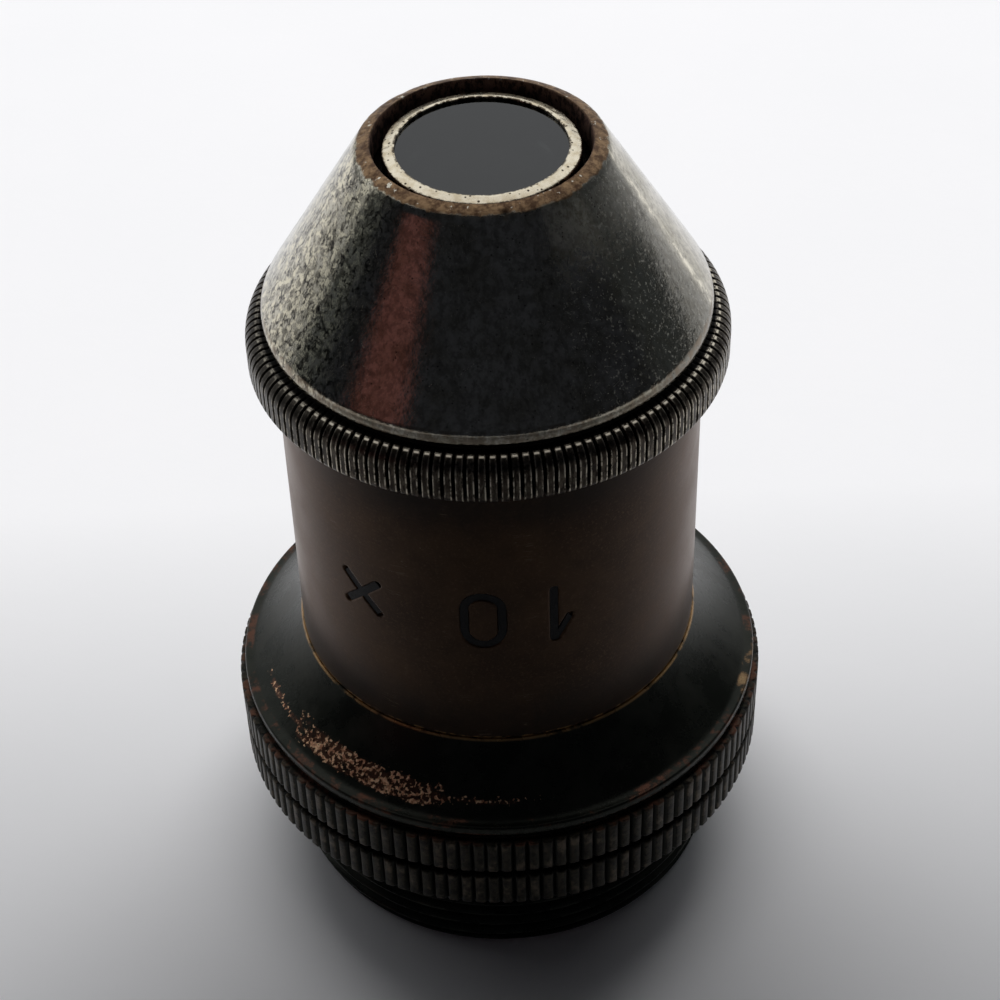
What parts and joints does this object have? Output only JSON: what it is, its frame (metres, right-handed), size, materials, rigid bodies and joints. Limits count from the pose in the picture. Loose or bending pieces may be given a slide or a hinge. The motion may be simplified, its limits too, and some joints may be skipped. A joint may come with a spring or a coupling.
{
  "type": "microscope objective",
  "caption": "Antique brass microscope objective: conical nickelled nose, knurled rings, lacquered barrel and Society thread.",
  "frame": {"origin": "centre of the mounting thread's rear face, on the optical axis", "axes": "+Z along the optical axis from the mounting thread to the front lens; the engraved mark faces -Y"},
  "size_m": [0.0244, 0.0244, 0.0382],
  "materials": {
    "bronzed_adapter": "dark bronzed brass, knurled, rubbed brown on the teeth",
    "bronzed_collar": "glossy green-black bronzing, rubbed to copper and gold near the lip",
    "barrel_lacquer": "brown lacquered brass, satin, lightly scuffed",
    "engraving_wax": "black engraver's wax",
    "blackened_brass": "chemically blackened, matt",
    "bare_brass": "turned brass, dulled",
    "spring_steel": "drawn wire",
    "silvered_cell": "silvered and burnished, specked with tarnish",
    "nickel_plate": "nickel plate worn to brass at the rim, pitted and scratched",
    "flint_glass": "polished lens",
    "crown_glass": "polished lens"
  },
  "bodies": {
    "mount": {"thread_adapter": "bronzed_adapter"},
    "stop_group": {"aperture_stop": "blackened_brass", "stop_retaining_ring": "bare_brass"},
    "barrel": {"barrel_collar": "bronzed_collar", "barrel_tube": "barrel_lacquer", "engraving_wax": "engraving_wax", "lens_tube": "blackened_brass", "spacing_shim": "bare_brass", "glare_baffle": "blackened_brass", "baffle_spring_ring": "spring_steel", "rear_cell": "bare_brass", "rear_flint_lens": "flint_glass", "rear_crown_lens": "crown_glass", "rear_retaining_ring": "bare_brass"},
    "front_group": {"front_cell": "silvered_cell", "front_flint_lens": "flint_glass", "front_crown_lens": "crown_glass", "front_retaining_ring": "bare_brass"},
    "nose": {"nose_cap": "nickel_plate"}
  },
  "joints": [
    {"name": "barrel_rise", "type": "slide", "parent": "mount", "child": "stop_group", "axis": [0, 0, 1], "range_m": [0, 0.004]},
    {"name": "barrel_unscrew", "type": "hinge", "parent": "stop_group", "child": "barrel", "pos_m": [0, 0, 0.0077], "axis": [0, 0, 1], "range_deg": [0, 2880]},
    {"name": "nose_rise", "type": "slide", "parent": "barrel", "child": "front_group", "axis": [0, 0, 1], "range_m": [0, 0.002]},
    {"name": "nose_unscrew", "type": "hinge", "parent": "front_group", "child": "nose", "pos_m": [0, 0, 0.028], "axis": [0, 0, 1], "range_deg": [0, 1440]}
  ],
  "couplings": [
    {"joint": "barrel_unscrew", "follows": "barrel_rise", "rad_per_m": 12566},
    {"joint": "nose_unscrew", "follows": "nose_rise", "rad_per_m": 12566}
  ]
}
